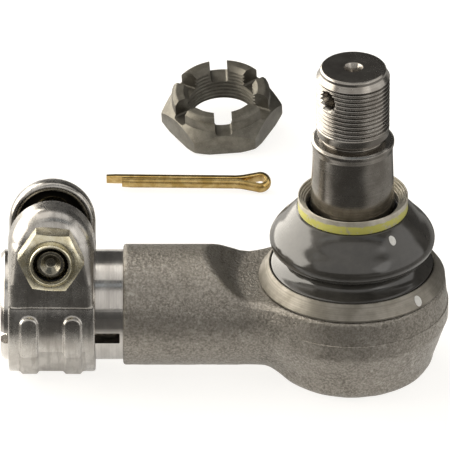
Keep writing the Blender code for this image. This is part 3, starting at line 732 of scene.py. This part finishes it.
def build_neck_coil():
    """Flat strip wound outwards, each turn taller than the one inside it."""
    turns, per_turn, strip = 4.6, 80, 0.46
    count = int(turns * per_turn) + 1
    angle = np.linspace(0, turns * 2 * pi, count) + pi / 2 - turns * 2 * pi
    radius = np.linspace(COIL_INNER + strip / 2, COIL_OUTER - strip / 2, count)
    tall = np.interp(radius, (COIL_INNER, COIL_OUTER - 1.0, COIL_OUTER), (2.0, 4.4, COIL_HEIGHT))
    centres = np.stack([radius * np.cos(angle), radius * np.sin(angle), COIL_BOTTOM + tall / 2], 1)
    sides = np.stack([np.cos(angle), np.sin(angle), np.zeros(count)], 1)
    ups = np.tile((0.0, 0.0, 1.0), (count, 1))
    w, h = strip / 2, COIL_HEIGHT / 2
    section = fillet([(-w, -h), (w, -h), (w, h), (-w, h)], 0.12, 2, loop=True)
    scale = np.stack([np.ones(count), tall / COIL_HEIGHT], 1)
    coil = make("boot_neck_spiral", sweep(centres, sides, ups, section[::-1], scale), BALL)
    dress(coil, coil_finish(), "neck", ["boot_neck_coil"])


def build_white_dots():
    # two small off-white dots, one on the boot and one on the base ring
    white = matt_coat("white_dot_matt", (0.78, 0.77, 0.73))
    surface = [tuple(map(float, p)) for p in spline(BOOT_OUTSIDE, 5) if 32.4 < p[1] < 36.3]
    white_dot("boot_white_dot", white, surface, -52.3, 1.75, 1.15, blend=BOOT_BLEND)
    ring_surface = [(27.6 + 3.2 * t, 16.3 - 4.6 * t) for t in np.linspace(0.29, 0.99, 9)]
    white_dot("ring_white_dot", white, ring_surface, -43.4, 1.9, 1.35, body="housing")


# ---------------------------------------------------------------- clamp
PAD = 21.4  # from the clamp's middle to an ear's flat face
RIM = 8.6  # half the gap between the ears
SHEET = 3.3
HALF_WIDTH = 14.35
EAR_HALF = 13.95
BAND_R, BAND_ACROSS, BAND_TALL, BAND_INNER_R = 21.6, 20.9, 22.3, 18.6
RIB_MIDDLES, RIB_HALF, RIB_HEIGHT = (-7.5, 6.9), 2.9, 0.95
RIB_TOP = 0.0
PAD_FOOT = 6.0


def ear_distance(p, inset=0.0):
    """Signed distance to both cupped ears, taken inwards by inset."""
    x, y, z = p.T
    out = np.abs(y)
    draft = 0.035 * np.clip(PAD - out, 0, 14)
    arch = np.where(z > BOLT_HEIGHT, np.hypot(x, z - BOLT_HEIGHT), np.abs(x)) - (EAR_HALF + draft)
    corner = 2.6 + np.where(y > 0, 6.0, 4.2) * np.clip((z - 14.0) / 14.0, 0, 1)
    arch, face = arch + inset, out - PAD + inset
    return rounded_max(arch, face, np.maximum(corner - inset, 0.6))


def clamp_shape(p):
    """Signed distance to the clamp: band, ears and ribs, less the hollows, the gap and the bore."""
    x, y, z = p.T
    skin = BAND_R * (np.hypot(y / BAND_ACROSS, z / BAND_TALL) - 1)
    band = rounded_max(skin, np.abs(x) - HALF_WIDTH, 0.9)
    ears = rounded_max(ear_distance(p), PAD_FOOT - z, 0.5)
    body = smooth_min(band, ears, 0.5)
    along = 22.5 * np.arctan2(z, np.abs(y))
    for middle in RIB_MIDDLES:
        reach = np.hypot(x - middle, np.maximum(along - RIB_TOP, 0)) - RIB_HALF
        rib = rounded_max(reach, skin - RIB_HEIGHT, 0.8)
        body = smooth_min(body, rib, 0.7)
    hollow = np.maximum(ear_distance(p, SHEET), 5.0 - z)
    body = smooth_max(body, -hollow, 0.5)
    gap = np.maximum(np.abs(y) - RIM, 12.0 - z)
    body = smooth_max(body, -gap, np.where(y > 0, 2.4, 0.4))
    body = smooth_max(body, BAND_INNER_R - np.hypot(y, z), 0.8)
    return body + 0.05 * lattice_noise(p, 6.0, 8) + 0.02 * lattice_noise(p, 2.5, 9)


def build_clamp():
    clamp = make("clamp_pressing", net(clamp_shape, (-16, -25, -25), (16, 25, 41.5), 0.4), CLAMP, sharp=60)
    hole = lathe([(0, 40), (6.6, 40), (6.6, -40), (0, -40)], 48)
    carve(clamp, ("DIFFERENCE", make("bolt_hole", hole, BOLT)), sharp=60)
    dress(clamp, pressed_steel(), "clamp", ["clamp_band"])


SEAT = 21.7  # from the middle of the bolt to the face that its nut or washer sits on
BOLT_R = 5.85


def build_bolt(zinc):
    """The bolt, from its recessed tip past the thread and the shank to its head, and the washer."""
    tip = SEAT + 9.6
    washer_r, washer_height, washer_bore = 8.6, 1.6, 6.15
    head = -SEAT - washer_height - 0.3
    rows = fillet([(0, tip - 2.2), (1.6, tip - 1.9, 0.8), (3.4, tip - 0.2, 0.8), (4.3, tip, 0.2)]
                  + [(4.6, tip - 0.3, 0.2), (5.6, tip - 2.4, 0.15), (BOLT_R, tip - 2.7)], 0.2)
    rows += [(BOLT_R, z) for z in thread_rows(SEAT - 12.0, tip - 2.8, 5)]
    rows += [(BOLT_R, SEAT - 12.2)]
    rows += fillet([(BOLT_R, 0), (BOLT_R, head, 0.4), (7.8, head, 0.15), (7.8, head - 1.0, 0.15)]
                   + [(0, head - 1.0)], 0.2)

    def vary(r, z, a):
        if abs(r - BOLT_R) < 0.01 and SEAT - 12.1 < z < tip - 2.75:
            return r - thread_depth(z, a, 1.5, 0.7)
        return np.full(len(a), r)

    bolt = make("clamp_bolt_turned", lathe(rows, 48, vary=vary), BOLT)
    low, high = head - 4.8, head - 0.6
    hexed = make("bolt_head", prism(hexagon(14.5, 30), low, high), BOLT)
    crown = lathe([(0, high + 1), (9, high + 1), (9, low + 1.0), (7.0, low), (0, low)], 64)
    carve(hexed, ("INTERSECT", make("crown", crown, BOLT)))
    carve(bolt, ("UNION", hexed))
    dull = plated("zinc_dull", (0.20, 0.185, 0.15), (0.34, 0.32, 0.26), (0.15, 0.12, 0.07), 0.22)
    dress(bolt, dull, "bolt", ["clamp_bolt"])

    washer_low = -SEAT - washer_height
    washer_rows = [(washer_bore, -SEAT), (washer_r, -SEAT), (washer_r, washer_low), (washer_bore, washer_low)]
    washer = make("clamp_washer_turned", lathe(fillet(washer_rows, 0.3, loop=True), 64, loop=True), BOLT)
    dress(washer, zinc, "bolt", ["clamp_washer"])


def build_lock_nut(zinc):
    """A hexagon with a groove, a rolled collar and, held inside the collar, the nylon insert."""
    turn = Matrix.Rotation(radians(-4), 4, "Z")
    low, high, top = SEAT, SEAT + 9.2, SEAT + 10.8
    nut = make("clamp_nut_hex", prism(hexagon(19.0), low, high), BOLT @ turn)
    chamfer = lathe(
        [(0, high - 0.6), (7.9, high - 0.6), (7.9, high), (8.1, high), (11.2, high - 1.8)]
        + [(11.2, low + 1.0), (9.4, low - 0.01), (0, low - 0.01)], 64,
    )
    collar = lathe(fillet([(0, top), (7.0, top, 0.8), (7.0, high - 1.0), (0, high - 1.0)], 0.1, 5), 64)
    bore = lathe(
        fillet([(0, top + 2), (7.4, top + 2), (6.0, top - 0.02, 0.8), (5.6, top - 1.0, 0.3), (6.5, top - 1.1)]
               + [(6.5, top - 3.1), (6.15, top - 3.1), (6.15, low - 2), (0, low - 2)], 0.0), 64,
    )
    carve(
        nut,
        ("INTERSECT", make("chamfer", chamfer, BOLT)),
        ("UNION", make("collar", collar, BOLT)),
        ("DIFFERENCE", make("bore", bore, BOLT)),
    )
    dress(nut, zinc, "lock_nut", ["clamp_nut"])
    insert_rows = [(5.9, top - 1.3), (6.4, top - 1.3), (6.4, top - 2.8), (5.9, top - 2.8)]
    insert = make("clamp_nut_nylon", lathe(fillet(insert_rows, 0.1, loop=True), 64, loop=True), BOLT)
    nylon = moulded("insert_nylon", (0.03, 0.03, 0.035), 0.4)
    dress(insert, nylon, "lock_nut_insert", ["clamp_nut_insert"])


# ---------------------------------------------------------------- loose fittings
def placed(spot, turns):
    """A frame at spot, turned about X, Y and Z by degrees."""
    return Matrix.Translation(spot) @ Euler(np.radians(turns)).to_matrix().to_4x4()


def build_castle_nut():
    """A hexagon with both ends chamfered, a round crown with six slots, and a thread."""
    spot = placed((-42.9, 156.7, 3.4), (10.0, -2.5, 0.0)) @ Matrix.Rotation(radians(2.8), 4, "Z")
    hex_top, crown_top, slot_floor, slot_half, bore = 9.0, 13.9, 7.9, 3.0, 11.2
    nut = make("castle_nut_hex", prism(hexagon(36.0), 0, hex_top), spot)
    cone = lathe(
        fillet([(0, hex_top + 0.3), (16.3, hex_top + 0.3), (20.75, 5.1, 1.2), (20.75, 1.2, 0.5), (17.4, -0.8)]
               + [(0, -0.8)], 0), 96,
    )
    crown = lathe(
        fillet([(0, crown_top), (15.6, crown_top, 1.2), (16.9, crown_top - 1.6, 1.2), (16.9, hex_top - 0.2)]
               + [(16.9, hex_top - 2.0), (0, hex_top - 2.0)], 0, 6), 96,
    )
    rows = [(0, crown_top + 2), (bore + 3.6, crown_top + 2), (bore + 0.1, crown_top - 1.5)]
    rows += [(bore, z) for z in thread_rows(0.8, crown_top - 1.6)]
    rows += [(bore + 0.1, 0.7), (bore + 2.6, -1.8), (0, -1.8)]

    def vary(r, z, a):
        return r + (0.8 - thread_depth(z, a, 1.5, 0.8) if r == bore else 0 * a)

    carve(
        nut,
        ("INTERSECT", make("cone", cone, spot)),
        ("UNION", make("crown", crown, spot)),
        ("DIFFERENCE", make("thread", lathe(rows, 64, vary=vary), spot)),
    )
    corners = [(-slot_half, slot_floor, 1.0), (slot_half, slot_floor, 1.0), (slot_half, 25), (-slot_half, 25)]
    outline = fillet(corners, 0, 5, loop=True)
    stand = Matrix.Rotation(pi / 2, 4, "Z") @ Matrix.Rotation(pi / 2, 4, "X")
    for turn in (30, 90, 150):
        place = spot @ Matrix.Rotation(radians(turn), 4, "Z") @ stand
        carve(nut, ("DIFFERENCE", make("slot", prism(outline, -30, 30), place)))
    dress(nut, phosphated(), "castle_nut", ["castle_nut"])


def build_cotter_pin():
    """Half-round wire along the short leg, round the eye and back along the long leg."""
    spot = placed((-35.45, 115.0, 3.1), (30.0, 0.0, -1.2))
    wire_r, half_gap, eye_length, eye_half = 2.2, 0.1, 9.2, 3.75
    long_leg, short_leg = 46.85, 41.5
    bend = [(-3.0, half_gap), (-1.4, half_gap + 0.1), (0.4, half_gap + 0.35), (2.2, half_gap + 0.75)]
    eye = arc((eye_length - eye_half, 0), eye_half - wire_r, -118, 118, 27)
    path = [(x, -half_gap) for x in np.linspace(-short_leg, -4.2, 14)] + [(x, -y) for x, y in bend] + eye
    path += bend[::-1] + [(x, half_gap) for x in np.linspace(-4.2, -long_leg, 16)]
    path = np.array(path)
    step = np.gradient(path, axis=0)
    step /= np.linalg.norm(step, axis=1)[:, None]
    flat = np.zeros(len(path))
    centres = np.stack([path[:, 0], path[:, 1], flat], 1)
    sides = np.stack([step[:, 1], -step[:, 0], flat], 1)
    ups = np.tile((0.0, 0.0, 1.0), (len(path), 1))
    half_round = [(0, -wire_r, 0.25)] + arc((0, 0), wire_r, -80, 80, 13) + [(0, wire_r, 0.25)]
    section = fillet(half_round, 0.0, 3, loop=True)
    scale = np.ones((len(path), 2))
    scale[[0, -1]] = 0.93
    pin = make("cotter_pin_bent", sweep(centres, sides, ups, section[::-1], scale), spot, sharp=50)
    gold = plated("zinc_gold", (0.44, 0.29, 0.09), (0.66, 0.49, 0.22), (0.32, 0.28, 0.10), 0.15, 0.012)
    dress(pin, gold, "cotter_pin", ["cotter_pin"])


def dress_hidden_parts():
    """The carried-over pieces inside the joint, and the cover that closes it below."""
    seat = moulded("seat_plastic", (0.66, 0.64, 0.56), 0.42)
    spring = turned_steel("spring_steel", (0.24, 0.23, 0.21), (0.34, 0.33, 0.30), 0.30)
    cover = turned_steel("cover_steel", (0.34, 0.32, 0.29), (0.50, 0.48, 0.44), 0.32)
    seal = rubber("seal_rubber", (0.02, 0.02, 0.02), 0.5)
    liner = moulded("liner_plastic", (0.06, 0.06, 0.06), 0.45)
    for material, *nodes in (
        (seat, "upper_ball_seat", "lower_ball_seat"),
        (spring, "spring_plate", "preload_spring", "boot_foot_ring"),
        (cover, "end_cover"),
        (seal, "cover_seal"),
        (liner, "boot_neck_liner"),
    ):
        for node in nodes:
            dress(frame["nodes"][node], material)


# ---------------------------------------------------------------- stage
FLOOR_HALF = 3000
CAMERA_LENS = 970.24
CAMERA_DISTANCE = 4.0
CAMERA_ELEVATION = 30.43
CAMERA_TARGET = (-41.97, 0.0, 53.69)
WARM = (1.0, 0.95, 0.86)
BLUISH = (0.82, 0.92, 1.0)


def softbox(name, azimuth, elevation, distance, size, radiance, colour=(1.0, 0.975, 0.94)):
    """An area light that faces the object; azimuth 0 is the camera's side, positive to the right.
    Its power follows from its size in metres and from how bright it looks in a reflection."""
    data = bpy.data.lights.new(name, "AREA")
    data.shape = "RECTANGLE"
    data.size, data.size_y = size
    data.energy = radiance * pi * size[0] * size[1]
    data.color = colour
    light = bpy.data.objects.new(name, data)
    a, e = radians(azimuth), radians(elevation)
    away = Vector((sin(a) * cos(e), -cos(a) * cos(e), sin(e)))
    target = Vector((-0.035, 0.0, 0.03))
    light.location = target + away * distance
    light.rotation_euler = (-away).to_track_quat("-Z", "Y").to_euler()
    light.visible_camera = False
    bpy.context.scene.collection.objects.link(light)


def floor_paper():
    """White paper: nearly even white to the camera; to reflections and bounced light it carries painted light,
    bright close to the pieces and darker away from them.
    """
    t = Tree("floor_paper")
    x, y, _ = t.axes()

    def grey(value):
        return t.add("CombineColor", Red=value, Green=value, Blue=value).outputs[0]

    def distance(middle_x, half_length, middle_y):
        """Distance on the floor from a line along X."""
        past = t.math("SUBTRACT", t.math("ABSOLUTE", t.math("SUBTRACT", x, middle_x)), half_length)
        dx = t.math("POWER", t.math("MAXIMUM", past, 0.0), 2.0)
        return t.math("SQRT", t.math("ADD", dx, t.math("POWER", t.math("SUBTRACT", y, middle_y), 2.0)))

    housing, nut, pin = distance(-40.0, 75.0, 0.0), distance(-43.0, 1.0, 150.0), distance(-55.0, 30.0, 116.0)
    loose = t.math("MINIMUM", nut, t.math("ADD", pin, 30.0))
    reach = t.math("MINIMUM", housing, t.math("ADD", loose, 10.0))

    # painted light for reflections and bounced light: the floor is brighter close to the pieces, at the back on
    # the left and on the right
    back_left = t.math("MULTIPLY", t.ramp(x, -90.0, -20.0, 0.7, 0.0), t.ramp(y, -30.0, 30.0, 0.0, 1.0))
    right = t.ramp(x, 60.0, 105.0, 0.0, 0.35)
    shade = t.math("MAXIMUM", t.ramp(reach, 30.0, 88.0, 0.8, 0.06), t.math("MAXIMUM", back_left, right))

    # what the camera sees: light grey that takes the shadows, lifted to white by a glow
    lit = t.ramp(t.noise(40.0, 3, 0.5), 0.3, 0.7, 0.28, 0.31)
    seen = t.add("LightPath").outputs["Is Camera Ray"]
    paper = t.surface(t.mix(seen, grey(shade), grey(lit)), 0.0, 0.9)
    # painted glow: close to the pieces the floor also shines for every ray but the camera's, which lights the
    # pieces from below
    near = t.math("MULTIPLY", t.math("SUBTRACT", 1.0, seen), t.ramp(reach, 20.0, 62.0, 0.38, 0.0))
    strength = t.math("MAXIMUM", t.math("MULTIPLY", seen, 0.83), near)
    glow = t.add("Emission", Color=(1.0, 0.985, 0.955), Strength=strength).outputs[0]
    return t.done(t.add("AddShader", i0=paper, i1=glow).outputs[0])


def build_stage():
    corners = [(FLOOR_HALF * x, FLOOR_HALF * y, 0) for x, y in ((-1, -1), (1, -1), (1, 1), (-1, 1))]
    floor = make("floor", (corners, [(0, 1, 2, 3)]))
    floor.location.z = -0.2 * MM
    floor.data.materials.append(floor_paper())

    softbox("light_above", 180, 78, 1.3, (2.0, 0.9), 0.85)
    softbox("light_front", 0, 40, 1.5, (3.2, 1.15), 0.72)
    softbox("light_left", -114, 12, 1.4, (2.9, 1.7), 5.0, WARM)
    softbox("light_left_high", -108, 62, 1.5, (1.9, 1.1), 0.6, WARM)
    softbox("light_right", 74, 20, 1.5, (2.2, 1.4), 1.0)
    softbox("light_gap", 0, 71, 1.5, (2.6, 0.16), 0.5, BLUISH)

    world = bpy.data.worlds.new("studio")
    world.use_nodes = True
    background = world.node_tree.nodes["Background"]
    background.inputs["Color"].default_value = (1.0, 0.98, 0.95, 1)
    background.inputs["Strength"].default_value = 0.08
    bpy.context.scene.world = world
    bpy.context.scene.view_settings.view_transform = "Standard"

    camera_data = bpy.data.cameras.new("camera")
    camera_data.sensor_width = 36.0
    camera_data.lens = CAMERA_LENS
    camera = bpy.data.objects.new("camera", camera_data)
    elevation = radians(CAMERA_ELEVATION)
    target = Vector(CAMERA_TARGET) * MM
    camera.location = target + CAMERA_DISTANCE * Vector((0, -cos(elevation), sin(elevation)))
    camera.rotation_euler = (pi / 2 - elevation, 0, 0)
    bpy.context.scene.collection.objects.link(camera)
    bpy.context.scene.camera = camera


build_housing()
build_stud()
build_boot()
build_neck_coil()
build_white_dots()
build_clamp()
yellow_zinc = plated("zinc_yellow", (0.66, 0.60, 0.42), (0.86, 0.82, 0.66), (0.52, 0.42, 0.22), 0.24)
build_bolt(yellow_zinc)
build_lock_nut(yellow_zinc)
build_castle_nut()
build_cotter_pin()
dress_hidden_parts()
build_stage()
